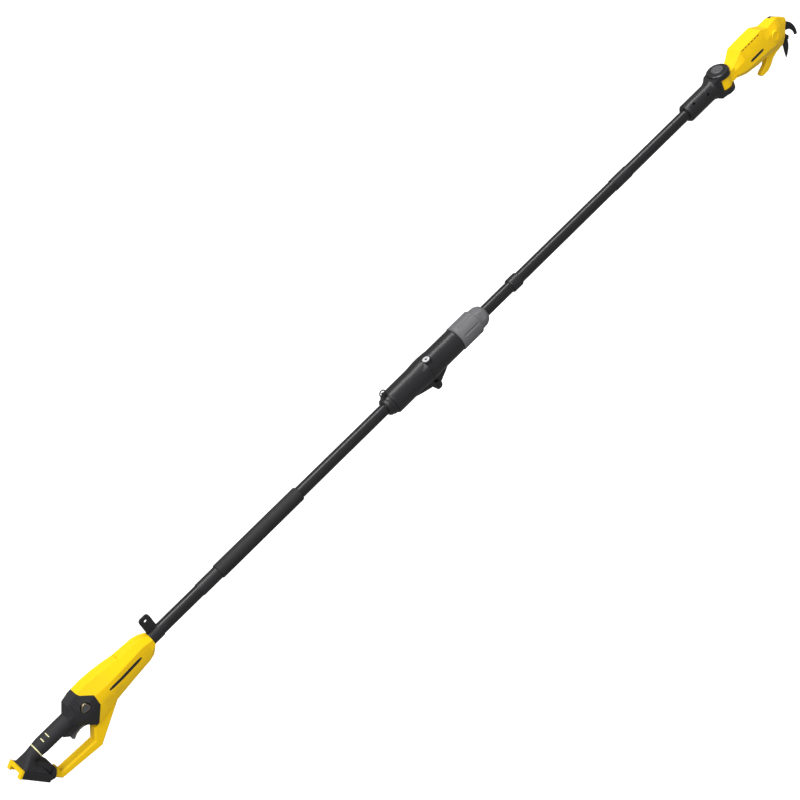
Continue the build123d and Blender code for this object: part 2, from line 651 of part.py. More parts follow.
def head_shells():
    t = tilt_x
    outer = faceted(head_sections()) - front_cut()
    inside = faceted(head_sections()[1:8], head_wall)
    tongue = upright(t, 0, knuckle_r - 4, -tongue_half, tongue_half)
    tongue += block(t, t + 38, -19, 19, -tongue_half, tongue_half)
    tongue -= upright(t, 0, tilt_pin_r + run, -40, 40)
    boss = across(t + 187, 0, 14, 0.5 - head_half, head_half - 0.5)
    boss = chamfer(boss.edges().filter_by(GeomType.CIRCLE), 1.2)
    for side in (-1, 1):
        boss -= across(t + 187, 0, 9.5, *sorted((side * (head_half - 1.7), side * head_half)))
    body = outer - inside
    for x, z in head_screws:
        body += across(t + x, z, 5, -60, 60) & outer
    body += boss - inside
    body += tongue
    body -= plate(finger_outline(), -8.05, 8.05)
    body -= across(bolt_x, pivot_z, pinion_reach + 4, -5.2, hook_thick + 0.3)
    body -= plate([(t + 198, 4), (t + 234, 4), (t + 270, -20), (t + 270, -60), (t + 198, -60)], -0.1, hook_thick + 0.1)
    body -= across(pinion_x, pinion_z, pinion_room, -9, 5)
    for side in (-1, 1):
        for i in range(6):
            x = t + 73 + i * 12
            body -= block(x, x + 8, *sorted((side * 17, side * 40)), 35.8, 38.4)
    places = [(t + x, z) for x, z in head_screws]
    for hole in screw_room(places, 11, -9):
        body -= hole
    cap_cut = plate([(t + 213, 25), (t + 213, 40), (t + 242, 40), (t + 234, 19), (t + 229, 14)], 4.5, 20)
    insert = outer & cap_cut
    body -= cap_cut
    return halves(body), screw_set(places, 11, -9), insert


def branch_hook():
    body = plate(finger_outline(), -8, 8)
    edges = [e for e in body.edges() if abs(abs(e.center().Y) - 8) < 0.01]
    body = chamfer(edges, 2.2)
    body -= across(bolt_x, pivot_z, pinion_reach + 4, -5.2, hook_thick + 0.3)
    body -= across(pinion_x, pinion_z, pinion_room, -9, 9)
    return body & plate([(tilt_x + 100, -90), (tilt_x + 240, -90), (tilt_x + 240, -34), (tilt_x + 100, -34)], -9, 9)


def drive_parts():
    t = tilt_x
    x0 = t + 64
    motor = rod(x0, x0 + motor_length, motor_r, 0, 6) + rod(x0 - 3, x0, 5, 0, 6)
    x1 = x0 + motor_length + 0.1
    gearbox = rod(x1, x1 + gearbox_length, gearbox_r, 0, 6)
    x2 = x1 + gearbox_length + 0.1
    case = block(pinion_x - 26, pinion_x + 8, 5.5, 13, pinion_z - 6, 4)
    case += block(x2, pinion_x - 24, -12, 13, -12, 18)
    case = case & faceted(head_sections()[1:8], head_wall + 0.3)
    case -= plate(finger_outline(), -8.3, 8.3)
    case -= across(pinion_x, pinion_z, 3 + run, 0, 20)
    case -= across(bolt_x, pivot_z, pinion_reach + 5, -13, 5)
    case -= across(pinion_x, pinion_z, pinion_room + 0.2, -13, 5.2)
    return motor, gearbox, case


def blade_parts():
    x, z = bolt_x, pivot_z
    plane = side_plane(hook_thick)
    tip = (x + 48, z - 24)
    hook_wire = [
        Line((x - 34, z + 20), (x - 34, z + 40)), Line((x - 34, z + 40), (x - 8, z + 38)),
        ThreePointArc((x - 8, z + 38), (x + 35, z + 20), tip), Line(tip, (x + 40.5, z - 22.5)),
        ThreePointArc((x + 40.5, z - 22.5), (x + 31, z + 0.5), (x + 8.5, z + 10.5)),
        Line((x + 8.5, z + 10.5), (x + 5, z - 9)), Line((x + 5, z - 9), (x - 9, z - 9)),
        Line((x - 9, z - 9), (x - 34, z + 20)),
    ]
    hook = extrude(plane * make_face(hook_wire), amount=hook_thick)
    hook += across(x, z, 9, 0, hook_thick)
    hook -= across(x, z, bolt_r + seat, -1, 10)
    hook -= across(pinion_x, pinion_z, 3.6, -1, 10)

    y1 = -blade_gap
    y0 = y1 - blade_thick
    tip2 = (x - 12, z - 53)
    cut_wire = [
        ThreePointArc((x + 8, z - 2), (x + 5, z - 32), tip2),
        ThreePointArc(tip2, (x - 11, z - 26), (x - 8.5, z - 3)),
        Line((x - 8.5, z - 3), (x - 2, z + 6)), Line((x - 2, z + 6), (x + 8, z - 2)),
    ]
    blade = extrude(side_plane(y1) * make_face(cut_wire), amount=blade_thick)
    blade += across(x, z, 9, y0, y1)
    teeth = [(x + a, z + b) for a, b in gear_outline(sector_teeth, mesh_angle)]
    sector = plate(teeth, y0, y1)
    reach = pinion_reach + 10
    corner = []
    for angle in (92, 112, 134, 156, 172):
        corner.append((x + reach * cos(radians(angle)), z + reach * sin(radians(angle))))
    wedge = plate([(x + 1, z - 2)] + corner, y0 - 1, y1 + 1)
    blade += sector & wedge
    blade -= across(x, z, bolt_r + run, -10, 10)

    gap_phase = mesh_angle + 180 + 180 / pinion_teeth
    pinion_points = [(pinion_x + a, pinion_z + b) for a, b in gear_outline(pinion_teeth, gap_phase)]
    pinion = plate(pinion_points, y0 - 0.4, y1 + 0.05)
    pinion += across(pinion_x, pinion_z, 3, y0 - 3, 12.8)

    bolt = across(x, z, bolt_r, y0 - 9.6, hook_thick + 0.1) + across(x, z, 7, hook_thick + 0.1, hook_thick + 4)
    hexagon = extrude(side_plane(y0 - 0.3) * Pos(x, z) * RegularPolygon(7.5, 6), amount=nut_height)
    nut = hexagon + across(x, z, 8.5, y0 - 1.8, y0 - 0.3)
    nut -= across(x, z, bolt_r + seat, -30, 0)
    return hook, blade, pinion, bolt, nut


def build():
    (housing_left, housing_right), (grip_left, grip_right) = handle_shells()
    foot = battery_foot()
    rail = battery_rail()
    carrier, contacts = terminal_parts()
    foot_room = slope_plate(-20, foot_length + 30, -0.02, 60, -60, 60)
    cap_end, strap_ring, coupler_low, fold_pin = coupler_parts()
    bezel, release_button, latch_bolt, release_spring = release_parts()
    tab, tab_screw = hang_tab()
    lower_tube, ferrule, foam = lower_pole()
    trigger, trigger_pin, trigger_spring = trigger_parts()
    lock_off, lock_off_spring = lock_off_parts()
    switch, board = switch_parts()
    inner, bush, upper_tube, collet, stop_ring, upper_ferrule = upper_pole_parts()
    (neck_left, neck_right), neck_fasteners = neck_shells()
    tilt_pin, detent, knob, tilt_button, tilt_spring = tilt_parts()
    (head_left, head_right), head_fasteners, insert = head_shells()
    motor, gearbox, case = drive_parts()
    hook, blade, pinion, bolt, nut = blade_parts()
    finger = branch_hook()

    pieces = {
        "housing_left": housing_left - foot, "housing_right": housing_right - foot,
        "grip_left": grip_left - foot_room, "grip_right": grip_right - foot_room,
        "battery_foot": foot - rail, "battery_rail": rail, "terminal_block": carrier,
        "terminal_blades": contacts, "trigger": trigger, "trigger_pin": trigger_pin,
        "trigger_spring": trigger_spring, "lock_off_button": lock_off, "lock_off_spring": lock_off_spring,
        "switch_module": switch, "control_board": board, "handle_screws": screw_set(case_screws, 11, -9),
        "hang_tab": tab, "clamp_screw": tab_screw, "lower_tube": lower_tube, "lower_ferrule": ferrule,
        "foam_grip": foam, "coupler_end_cap": cap_end, "strap_ring": strap_ring,
        "coupler_lower": coupler_low, "fold_pin": fold_pin, "release_ring": bezel,
        "release_button": release_button, "latch_bolt": latch_bolt, "release_spring": release_spring,
        "coupler_upper": coupler_upper(), "inner_tube": inner, "guide_bush": bush, "upper_tube": upper_tube,
        "collet": collet, "lock_collar": lock_collar(), "stop_ring": stop_ring,
        "upper_ferrule": upper_ferrule, "neck_left": neck_left, "neck_right": neck_right,
        "neck_screws": neck_fasteners, "tilt_pin": tilt_pin, "detent_ring": detent, "tilt_knob": knob,
        "tilt_button": tilt_button, "tilt_spring": tilt_spring, "head_left": head_left,
        "head_right": head_right, "head_screws": head_fasteners, "nose_insert": insert, "motor": motor,
        "gearbox": gearbox, "gear_case": case, "drive_pinion": pinion, "hook_blade": hook,
        "cutting_blade": blade, "pivot_bolt": bolt, "pivot_nut": nut, "branch_hook": finger,
    }
    os.makedirs("parts", exist_ok=True)
    for name, shape in pieces.items():
        save(shape, name)


build()
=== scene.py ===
import bpy
import bmesh
import json
from math import sin, cos, radians, pi
from mathutils import Vector, Matrix
from mathutils.bvhtree import BVHTree


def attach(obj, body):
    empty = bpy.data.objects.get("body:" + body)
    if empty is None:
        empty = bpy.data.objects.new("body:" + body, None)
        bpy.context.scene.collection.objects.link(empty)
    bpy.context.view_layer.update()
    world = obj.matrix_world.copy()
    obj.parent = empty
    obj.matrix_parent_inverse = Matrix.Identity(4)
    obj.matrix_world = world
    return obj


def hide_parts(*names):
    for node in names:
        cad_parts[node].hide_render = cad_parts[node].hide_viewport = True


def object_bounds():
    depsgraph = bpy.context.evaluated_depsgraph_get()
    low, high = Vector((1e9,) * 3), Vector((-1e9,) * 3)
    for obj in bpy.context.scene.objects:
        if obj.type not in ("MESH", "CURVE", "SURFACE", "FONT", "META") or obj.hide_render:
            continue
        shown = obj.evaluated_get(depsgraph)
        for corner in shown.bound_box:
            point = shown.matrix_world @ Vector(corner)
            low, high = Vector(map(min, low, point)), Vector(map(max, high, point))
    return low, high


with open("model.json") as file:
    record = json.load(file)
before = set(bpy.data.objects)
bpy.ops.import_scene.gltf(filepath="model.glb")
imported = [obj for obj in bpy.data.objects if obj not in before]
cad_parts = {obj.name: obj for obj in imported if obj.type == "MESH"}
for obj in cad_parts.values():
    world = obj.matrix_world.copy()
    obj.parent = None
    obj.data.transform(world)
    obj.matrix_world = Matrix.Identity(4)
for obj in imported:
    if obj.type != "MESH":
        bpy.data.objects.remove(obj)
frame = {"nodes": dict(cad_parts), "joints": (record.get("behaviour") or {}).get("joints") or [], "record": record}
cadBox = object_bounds()
joints = {j["name"]: j for j in frame["joints"]}
print("frame loaded:", len(frame["nodes"]), "nodes")


def jointAt(name):
    return Vector(joints[name]["pos_m"])


# camera, floor and light

camera = {"lens": 76.5, "sensor": 36.0, "away": 18.3, "roll": 40.0, "slant": 44.43, "distance": 3.778,
          "aim": 1.051, "below": 0.0093}          # away: the pole's far end leans back; roll: turn about the pole


def makeCamera(c):
    away, roll, slant = radians(c["away"]), radians(c["roll"]), radians(c["slant"])
    back = Vector((-sin(away), -cos(away) * cos(roll), cos(away) * sin(roll)))
    along = (Vector((1, 0, 0)) - back * back.x).normalized()
    aside = back.cross(along)
    right = along * cos(slant) - aside * sin(slant)
    up = along * sin(slant) + aside * cos(slant)
    data = bpy.data.cameras.new("camera")
    data.lens, data.sensor_width = c["lens"], c["sensor"]
    data.clip_start, data.clip_end = 0.1, 100
    cam = bpy.data.objects.new("camera", data)
    bpy.context.scene.collection.objects.link(cam)
    place = Matrix((right, up, back)).transposed().to_4x4()
    place.translation = Vector((c["aim"], 0, 0)) - aside * c["below"] + back * c["distance"]
    cam.matrix_world = place
    bpy.context.scene.camera = cam


stage = {"floorDrop": 0.9, "floorSize": 60.0, "floor": (0.93, 0.93, 0.93), "floorGlow": 0.35, "sky": 0.22,
         "sun": 1.9, "sunSpread": 30.0, "sunFrom": (-0.35, -0.4, 1.0)}


def makeSun(c):
    data = bpy.data.lights.new("sun", "SUN")
    data.energy, data.angle = c["sun"], radians(c["sunSpread"])
    lamp = bpy.data.objects.new("sun", data)
    bpy.context.scene.collection.objects.link(lamp)
    lamp.rotation_euler = Vector(c["sunFrom"]).to_track_quat("Z", "Y").to_euler()


def makePanel(name, place, target, size, power):
    # size: along the pole, across it
    data = bpy.data.lights.new(name, "AREA")
    data.shape, data.size, data.size_y, data.energy = "RECTANGLE", size[0], size[1], power
    lamp = bpy.data.objects.new(name, data)
    bpy.context.scene.collection.objects.link(lamp)
    back = (Vector(place) - Vector(target)).normalized()
    along = (Vector((1, 0, 0)) - back * back.x).normalized()
    turn = Matrix((along, back.cross(along), back)).transposed().to_4x4()
    turn.translation = place
    lamp.matrix_world = turn
    return lamp


def makeStage(c):
    world = bpy.data.worlds.new("studio")
    world.use_nodes = True
    world.node_tree.nodes["Background"].inputs[0].default_value = (1, 1, 1, 1)
    world.node_tree.nodes["Background"].inputs[1].default_value = c["sky"]
    bpy.context.scene.world = world
    lowest = cadBox[0].z
    bpy.ops.mesh.primitive_plane_add(size=c["floorSize"], location=(1.2, 0, lowest - c["floorDrop"]))
    floor = bpy.context.object
    floor.name = "floor"
    paint = bpy.data.materials.new("floorPaint")
    paint.use_nodes = True
    shader = paint.node_tree.nodes["Principled BSDF"]
    shader.inputs["Base Color"].default_value = (*c["floor"], 1)
    shader.inputs["Roughness"].default_value = 0.9
    shader.inputs["Emission Color"].default_value = (1, 1, 1, 1)
    shader.inputs["Emission Strength"].default_value = c["floorGlow"]
    floor.data.materials.append(paint)
    floor.visible_glossy = floor.visible_diffuse = False
    makeSun(c)
    side = makePanel("side", Vector((0.9, -3.2, 0.6)), Vector((1.1, 0, 0)), (3.4, 1.2), 58)
    side.visible_glossy = False
    makePanel("strip", Vector((1.9, 0.32, 1.9)), Vector((1.9, 0, 0)), (5.0, 0.45), 58)


bpy.context.scene.view_settings.view_transform = "Standard"
makeCamera(camera)
makeStage(stage)
print("camera and stage ready")


# shader maths

class Wire:                                       # a socket that takes arithmetic
    def __init__(self, tree, socket):
        self.tree, self.socket = tree, socket

    def join(self, operation, other):
        node = self.tree.nodes.new("ShaderNodeMath")
        node.operation = operation
        for end, slot in zip((self, other), node.inputs):
            if isinstance(end, Wire):
                self.tree.links.new(end.socket, slot)
            else:
                slot.default_value = end
        return Wire(self.tree, node.outputs[0])

    def __add__(self, other):
        return self.join("ADD", other)

    def __mul__(self, other):
        return self.join("MULTIPLY", other)

    def __gt__(self, other):
        return self.join("GREATER_THAN", other)


class Paint:                                      # a material and its Principled shader
    def __init__(self, name, rough, metal=0.0, coat=0.0, coatRough=0.1, shine=0.5):
        self.material = bpy.data.materials.new(name)
        self.material.use_nodes = True
        self.tree = self.material.node_tree
        self.shader = self.tree.nodes["Principled BSDF"]
        self.set("Roughness", rough)
        self.set("Metallic", metal)
        self.set("Coat Weight", coat)
        self.shader.inputs["Coat Roughness"].default_value = coatRough
        self.shader.inputs["Specular IOR Level"].default_value = shine
        coords = self.node("ShaderNodeTexCoord", {}, {})
        self.place = Wire(self.tree, coords.outputs["Object"])

    def node(self, kind, settings, sockets):
        made = self.tree.nodes.new(kind)
        for key, value in settings.items():
            setattr(made, key, value)
        for key, value in sockets.items():
            if isinstance(value, Wire):
                self.tree.links.new(value.socket, made.inputs[key])
            else:
                made.inputs[key].default_value = value
        return made

    def set(self, name, value):
        if isinstance(value, Wire):
            self.tree.links.new(value.socket, self.shader.inputs[name])
        else:
            self.shader.inputs[name].default_value = value

    def noise(self, scale, detail=2.0, rough=0.5, at=None):
        made = self.node("ShaderNodeTexNoise", {}, {"Vector": at or self.place, "Scale": scale, "Detail": detail,
                                                    "Roughness": rough})
        return Wire(self.tree, made.outputs["Fac"])

    def squeeze(self, x=1.0, y=1.0, z=1.0):
        made = self.node("ShaderNodeMapping", {}, {"Vector": self.place, "Scale": (x, y, z)})
        return Wire(self.tree, made.outputs[0])

    def cells(self, scale):
        made = self.node("ShaderNodeTexVoronoi", {}, {"Vector": self.place, "Scale": scale})
        return Wire(self.tree, made.outputs["Distance"])

    def blend(self, factor, first, second):
        made = self.node("ShaderNodeMix", {"data_type": "RGBA"}, {0: factor, 6: (*first, 1), 7: (*second, 1)})
        return Wire(self.tree, made.outputs[2])

    def spread(self, value, low, high):
        made = self.node("ShaderNodeMapRange", {}, {0: value, 1: 0.0, 2: 1.0, 3: low, 4: high})
        return Wire(self.tree, made.outputs[0])

    def relief(self, height, depth, strength=1.0, round=0.0006):
        edges = self.node("ShaderNodeBevel", {"samples": 4}, {"Radius": round})
        made = self.node("ShaderNodeBump", {}, {"Height": height, "Distance": depth, "Strength": strength,
                                                "Normal": Wire(self.tree, edges.outputs[0])})
        self.set("Normal", Wire(self.tree, made.outputs[0]))


def mouldedPlastic(name, dark, light, rough, grain=1400.0, depth=0.00006, coat=0.0, shine=0.5):
    # moulded shell: fine spark-eroded grain, cloudy gloss, slight colour drift
    paint = Paint(name, rough, coat=coat, shine=shine)
    clouds = paint.noise(9.0, 3.0)
    fine = paint.noise(grain, 2.0)
    paint.set("Base Color", paint.blend(clouds, dark, light))
    paint.set("Roughness", paint.spread(paint.noise(26.0, 3.0) * 0.6 + fine * 0.4, rough - 0.07, rough + 0.09))
    paint.relief(fine, depth)
    return paint.material


def softRubber(name, dark, light):
    # pebbled soft-touch overmould
    paint = Paint(name, 0.75, shine=0.35)
    dust = paint.noise(14.0, 4.0, 0.6)
    pebble = paint.cells(900.0)
    paint.set("Base Color", paint.blend(dust, dark, light))
    paint.set("Roughness", paint.spread(dust, 0.62, 0.85))
    paint.relief(pebble * 0.7 + paint.noise(300.0) * 0.3, 0.00012)
    return paint.material


def foamRubber(name):
    # closed-cell sleeve with fine pores
    paint = Paint(name, 0.8, shine=0.35)
    pores = paint.cells(650.0)
    dust = paint.noise(12.0, 4.0)
    paint.set("Base Color", paint.blend(dust, (0.010, 0.010, 0.011), (0.022, 0.022, 0.023)))
    paint.set("Roughness", paint.spread(dust, 0.55, 0.72))
    paint.relief(pores * 0.6 + paint.noise(1500.0) * 0.4, 0.00015)
    return paint.material


def coatedTube(name):
    # powder-coated pole: orange peel, faint drawing lines along the pole
    paint = Paint(name, 0.27, coat=0.1, coatRough=0.2, shine=0.5)
    lines = paint.noise(240.0, 2.0, at=paint.squeeze(0.02, 1.0, 1.0))
    peel = paint.noise(420.0, 1.0)
    scuffs = paint.noise(60.0, 4.0, at=paint.squeeze(0.08, 1.0, 1.0)) > 0.66
    paint.set("Base Color", paint.blend(scuffs * 0.5, (0.012, 0.012, 0.013), (0.03, 0.03, 0.032)))
    paint.set("Roughness", paint.spread(lines, 0.22, 0.36))
    paint.relief(peel * 0.7 + lines * 0.3, 0.00005)
    return paint.material


def brushedMetal(name, dark, light, rough, stretch=(1.0, 0.05, 1.0), grain=900.0):
    # machined or ground metal with a lay
    paint = Paint(name, rough, metal=1.0)
    lay = paint.noise(grain, 2.0, at=paint.squeeze(*stretch))
    stains = paint.noise(40.0, 3.0)
    paint.set("Base Color", paint.blend(lay * 0.6 + stains * 0.4, dark, light))
    paint.set("Roughness", paint.spread(lay, rough - 0.08, rough + 0.12))
    paint.relief(lay, 0.00004)
    return paint.material


def contactBrass(name):
    paint = Paint(name, 0.3, metal=1.0)
    paint.set("Base Color", paint.blend(paint.noise(200.0), (0.62, 0.42, 0.14), (0.85, 0.65, 0.3)))
    paint.relief(paint.noise(900.0), 0.00003)
    return paint.material


def circuitBoard(name):
    # green board with lighter tracks
    paint = Paint(name, 0.4, coat=0.4)
    tracks = paint.node("ShaderNodeTexBrick", {}, {"Vector": paint.place, "Scale": 90.0, "Mortar Size": 0.03})
    onTrack = Wire(paint.tree, tracks.outputs["Fac"])
    paint.set("Base Color", paint.blend(onTrack, (0.01, 0.09, 0.03), (0.1, 0.32, 0.12)))
    paint.relief(paint.noise(500.0), 0.00003)
    return paint.material


paints = {
    "yellow": mouldedPlastic("yellowShell", (0.88, 0.54, 0.002), (0.95, 0.61, 0.003), 0.38, coat=0.05, shine=0.35),
    "black": mouldedPlastic("blackShell", (0.011, 0.011, 0.012), (0.019, 0.019, 0.021), 0.33, shine=0.5),
    "grey": mouldedPlastic("greyShell", (0.095, 0.095, 0.1), (0.13, 0.13, 0.135), 0.5),
    "midGrey": mouldedPlastic("midGreyShell", (0.055, 0.055, 0.058), (0.085, 0.085, 0.09), 0.45),
    "pale": mouldedPlastic("paleLine", (0.72, 0.68, 0.34), (0.82, 0.78, 0.44), 0.5),
    "rubber": softRubber("gripRubber", (0.014, 0.014, 0.016), (0.03, 0.03, 0.032)),
    "foam": foamRubber("foamRubber"),
    "tube": coatedTube("coatedTube"),
    "aluminium": brushedMetal("bareAluminium", (0.5, 0.5, 0.52), (0.68, 0.68, 0.7), 0.32, (0.03, 1, 1)),
    "steel": brushedMetal("brightSteel", (0.34, 0.34, 0.36), (0.52, 0.52, 0.54), 0.3),
    "bright": mouldedPlastic("brightRing", (0.52, 0.52, 0.54), (0.64, 0.64, 0.66), 0.3, coat=0.3),
    "blade": brushedMetal("coatedBlade", (0.055, 0.058, 0.064), (0.1, 0.105, 0.112), 0.42, (1, 1, 0.06)),
    "darkSteel": brushedMetal("blackenedSteel", (0.05, 0.05, 0.054), (0.11, 0.11, 0.115), 0.36),
    "edge": brushedMetal("groundEdge", (0.45, 0.45, 0.47), (0.65, 0.65, 0.67), 0.22),
    "gold": brushedMetal("goldLacquer", (0.46, 0.38, 0.22), (0.60, 0.51, 0.32), 0.35),
    "brass": contactBrass("contactBrass"),
    "board": circuitBoard("circuitBoard"),
}
nodePaints = {
    "yellow": ["housing_left", "housing_right", "battery_rail", "head_left", "head_right", "branch_hook"],
    "black": ["battery_foot", "terminal_block", "hang_tab", "lower_ferrule", "coupler_end_cap", "coupler_lower",
              "coupler_upper", "guide_bush", "collet", "stop_ring", "upper_ferrule", "neck_left", "neck_right",
              "tilt_knob", "nose_insert", "switch_module", "strap_ring", "fold_pin"],
    "grey": ["lock_collar"], "midGrey": ["tilt_button", "trigger"], "gold": ["lock_off_button"],
    "rubber": ["grip_left", "grip_right"], "foam": ["foam_grip"], "tube": ["lower_tube", "upper_tube"],
    "aluminium": ["inner_tube", "gear_case"], "bright": ["release_ring", "release_button"],
    "blade": ["hook_blade", "cutting_blade"],
    "darkSteel": ["handle_screws", "clamp_screw", "neck_screws", "head_screws", "pivot_bolt", "pivot_nut"],
    "steel": ["trigger_pin", "latch_bolt", "tilt_pin", "detent_ring", "motor", "gearbox", "drive_pinion",
              "trigger_spring", "lock_off_spring", "release_spring", "tilt_spring"],
    "brass": ["terminal_blades"], "board": ["control_board"],
}
for key, names in nodePaints.items():
    for name in names:
        mesh = frame["nodes"][name].data
        mesh.materials.clear()
        mesh.materials.append(paints[key])
print("materials ready:", len(paints))


# softened shells: a merged copy of a CAD piece with its corners rounded

bodyOf = {n: b for b, names in frame["record"]["behaviour"]["bodies"].items() for n in names}
paintOf = {n: k for k, names in nodePaints.items() for n in names}


def addPiece(name, mesh, body, paint):
    piece = bpy.data.objects.new(name, mesh)
    bpy.context.scene.collection.objects.link(piece)
    if paint:
        mesh.materials.clear()
        mesh.materials.append(paints[paint])
    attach(piece, body)
    return piece


def settle(piece):
    # applies the modifiers and leaves a plain mesh
    graph = bpy.context.evaluated_depsgraph_get()
    mesh = bpy.data.meshes.new_from_object(piece.evaluated_get(graph))
    piece.modifiers.clear()
    piece.data = mesh
    return piece


def soften(node, width, segments=2, sharp=28.0, flat=1.5):
    source = frame["nodes"][node]
    shape = bmesh.new()
    shape.from_mesh(source.data)
    bmesh.ops.remove_doubles(shape, verts=shape.verts, dist=2e-5)
    bmesh.ops.dissolve_limit(shape, angle_limit=radians(flat), verts=shape.verts, edges=shape.edges)
    mesh = bpy.data.meshes.new("soft_" + node)
    shape.to_mesh(mesh)
    shape.free()
    piece = bpy.data.objects.new("soft_" + node, mesh)
    bpy.context.scene.collection.objects.link(piece)
    bevel = piece.modifiers.new("round", "BEVEL")
    bevel.width, bevel.segments, bevel.limit_method = width, segments, "ANGLE"
    bevel.angle_limit, bevel.miter_outer, bevel.harden_normals = radians(sharp), "MITER_ARC", False
    normals = piece.modifiers.new("normals", "WEIGHTED_NORMAL")
    normals.keep_sharp = True
    for face in mesh.polygons:
        face.use_smooth = True
    settle(piece)
    piece.data.materials.clear()
    piece.data.materials.append(paints[paintOf[node]])
    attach(piece, bodyOf[node])
    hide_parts(node)


rounding = {
    "housing_left": 0.0018, "housing_right": 0.0018, "grip_left": 0.0016, "grip_right": 0.0016,
    "battery_foot": 0.0016, "battery_rail": 0.0008, "trigger": 0.0018, "hang_tab": 0.0008,
    "coupler_end_cap": 0.0008, "coupler_lower": 0.0012, "coupler_upper": 0.0012, "lock_collar": 0.0012,
    "stop_ring": 0.0006, "neck_left": 0.0014, "neck_right": 0.0014, "head_left": 0.0018, "head_right": 0.0018,
    "branch_hook": 0.0020, "hook_blade": 0.0006, "cutting_blade": 0.0004, "pivot_nut": 0.0006,
    "lower_ferrule": 0.0006, "upper_ferrule": 0.0006, "foam_grip": 0.0008,
}
for name, width in rounding.items():
    soften(name, width)
print("shells softened:", len(rounding))


# small detail laid over the shells

def gridSolid(name, outer, inner, wrap=False):
    # closed mesh between two grids of points; wrap joins the last row to the first
    rows, columns = len(outer), len(outer[0])
    shape = bmesh.new()
    top = [[shape.verts.new(p) for p in row] for row in outer]
    low = [[shape.verts.new(p) for p in row] for row in inner]
    last = rows if wrap else rows - 1
    for i in range(last):
        k = (i + 1) % rows
        for j in range(columns - 1):
            shape.faces.new((top[i][j], top[k][j], top[k][j + 1], top[i][j + 1]))
            shape.faces.new((low[i][j], low[i][j + 1], low[k][j + 1], low[k][j]))
        for j in (0, columns - 1):
            shape.faces.new((top[i][j], low[i][j], low[k][j], top[k][j]))
    if not wrap:
        for i in (0, rows - 1):
            for j in range(columns - 1):
                shape.faces.new((top[i][j], top[i][j + 1], low[i][j + 1], low[i][j]))
    bmesh.ops.recalc_face_normals(shape, faces=shape.faces)
    mesh = bpy.data.meshes.new(name)
    shape.to_mesh(mesh)
    shape.free()
    for face in mesh.polygons:
        face.use_smooth = False
    return mesh


trees = {}


def surfaceHit(node, x, z, side):
    if node not in trees:
        source = frame["nodes"][node].data
        spots = [v.co.copy() for v in source.vertices]
        trees[node] = BVHTree.FromPolygons(spots, [tuple(f.vertices) for f in source.polygons])
    hit = trees[node].ray_cast(Vector((x, side * 0.3, z)), Vector((0, -side, 0)))
    return hit[0]


def sideBar(name, c):
    # bar that lies on the side of a shell, from one (x, z) to another
    start, end, half = Vector(c["start"]), Vector(c["end"]), c["half"]
    across = Vector((start.y - end.y, end.x - start.x)).normalized()
    outer, inner = [], []
    steps = c["steps"]
    for i in range(steps + 1):
        rowOut, rowIn = [], []
        ends = min(1.0, 4.0 * min(i, steps - i) / steps + 0.55)
        for j in range(5):
            spot = start.lerp(end, i / steps) + across * half * ends * (j / 2 - 1)
            hit = surfaceHit(c["node"], spot.x, spot.y, c["side"])
            rowOut.append(hit + Vector((0, c["side"] * c["lift"], 0)))
            rowIn.append(hit - Vector((0, c["side"] * 0.0004, 0)))
        outer.append(rowOut)
        inner.append(rowIn)
    return addPiece(name, gridSolid(name, outer, inner), c["body"], c["paint"])


def barOn(node, side, body, start, end, half=0.0036, lift=0.00015, steps=24):
    return {"node": node, "side": side, "body": body, "start": start, "end": end, "half": half, "lift": lift,
            "steps": steps, "paint": "black", "slot": "black_plastic"}


housingLine = ((0.160, -0.0005), (0.252, -0.002))
headLine = ((2.2985, -0.002), (2.348, -0.001))
bars = {
    "housing_mark_near": barOn("housing_right", -1, "handle", *housingLine),
    "housing_mark_far": barOn("housing_left", 1, "handle", *housingLine),
    "head_mark_near": barOn("head_right", -1, "head", *headLine),
    "head_mark_far": barOn("head_left", 1, "head", *headLine),
}
ribs, ribStep = 3, 0.006
for i in range(ribs):
    shift = i * ribStep
    bars["body_rib_" + str(i)] = barOn("grip_right", -1, "handle", (0.081 + shift, 0.022), (0.082 + shift, 0.034),
                                       half=0.0007, lift=0.0006, steps=10)
for name, c in bars.items():
    sideBar(name, c)


def gripBand(name, c):
    # thin moulded line on the round grip: degrees are counted from the near side up over the top
    whole = c["to"] - c["from"] >= 360
    count = 72 if whole else 16
    outer, inner = [], []
    for i in range(count if whole else count + 1):
        turn = radians(c["from"] + (c["to"] - c["from"]) * i / count)
        way = Vector((0, -cos(turn), sin(turn)))
        outer.append([Vector((x, 0, 0)) + way * (r + c["lift"]) for x, r in c["line"]])
        inner.append([Vector((x, 0, 0)) + way * (r - 0.0006) for x, r in c["line"]])
    return addPiece(name, gridSolid(name, outer, inner, whole), "handle", c["paint"])


gripBands = {
    "grip_ring_line": {"line": [(-0.0262, 0.01608), (-0.0238, 0.01635)], "from": 0, "to": 360, "lift": 0.0002,
                       "paint": "pale"},
    "grip_dash_rear": {"line": [(-0.0049, 0.0178), (-0.0029, 0.0178)], "from": 43, "to": 78, "lift": 0.0002,
                       "paint": "pale"},
    "grip_dash_front": {"line": [(0.0088, 0.0178), (0.0108, 0.0178)], "from": 43, "to": 84, "lift": 0.0002,
                        "paint": "pale"},
}
for name, c in gripBands.items():
    gripBand(name, c)


def ribbon(name, points, y0, y1, height, body, paint):
    # flat strip that follows (x, z) points, height upwards
    outer = [[Vector((x, y0, z)), Vector((x, y0, z + height))] for x, z in points]
    inner = [[Vector((x, y1, z)), Vector((x, y1, z + height))] for x, z in points]
    return addPiece(name, gridSolid(name, outer, inner), body, paint)


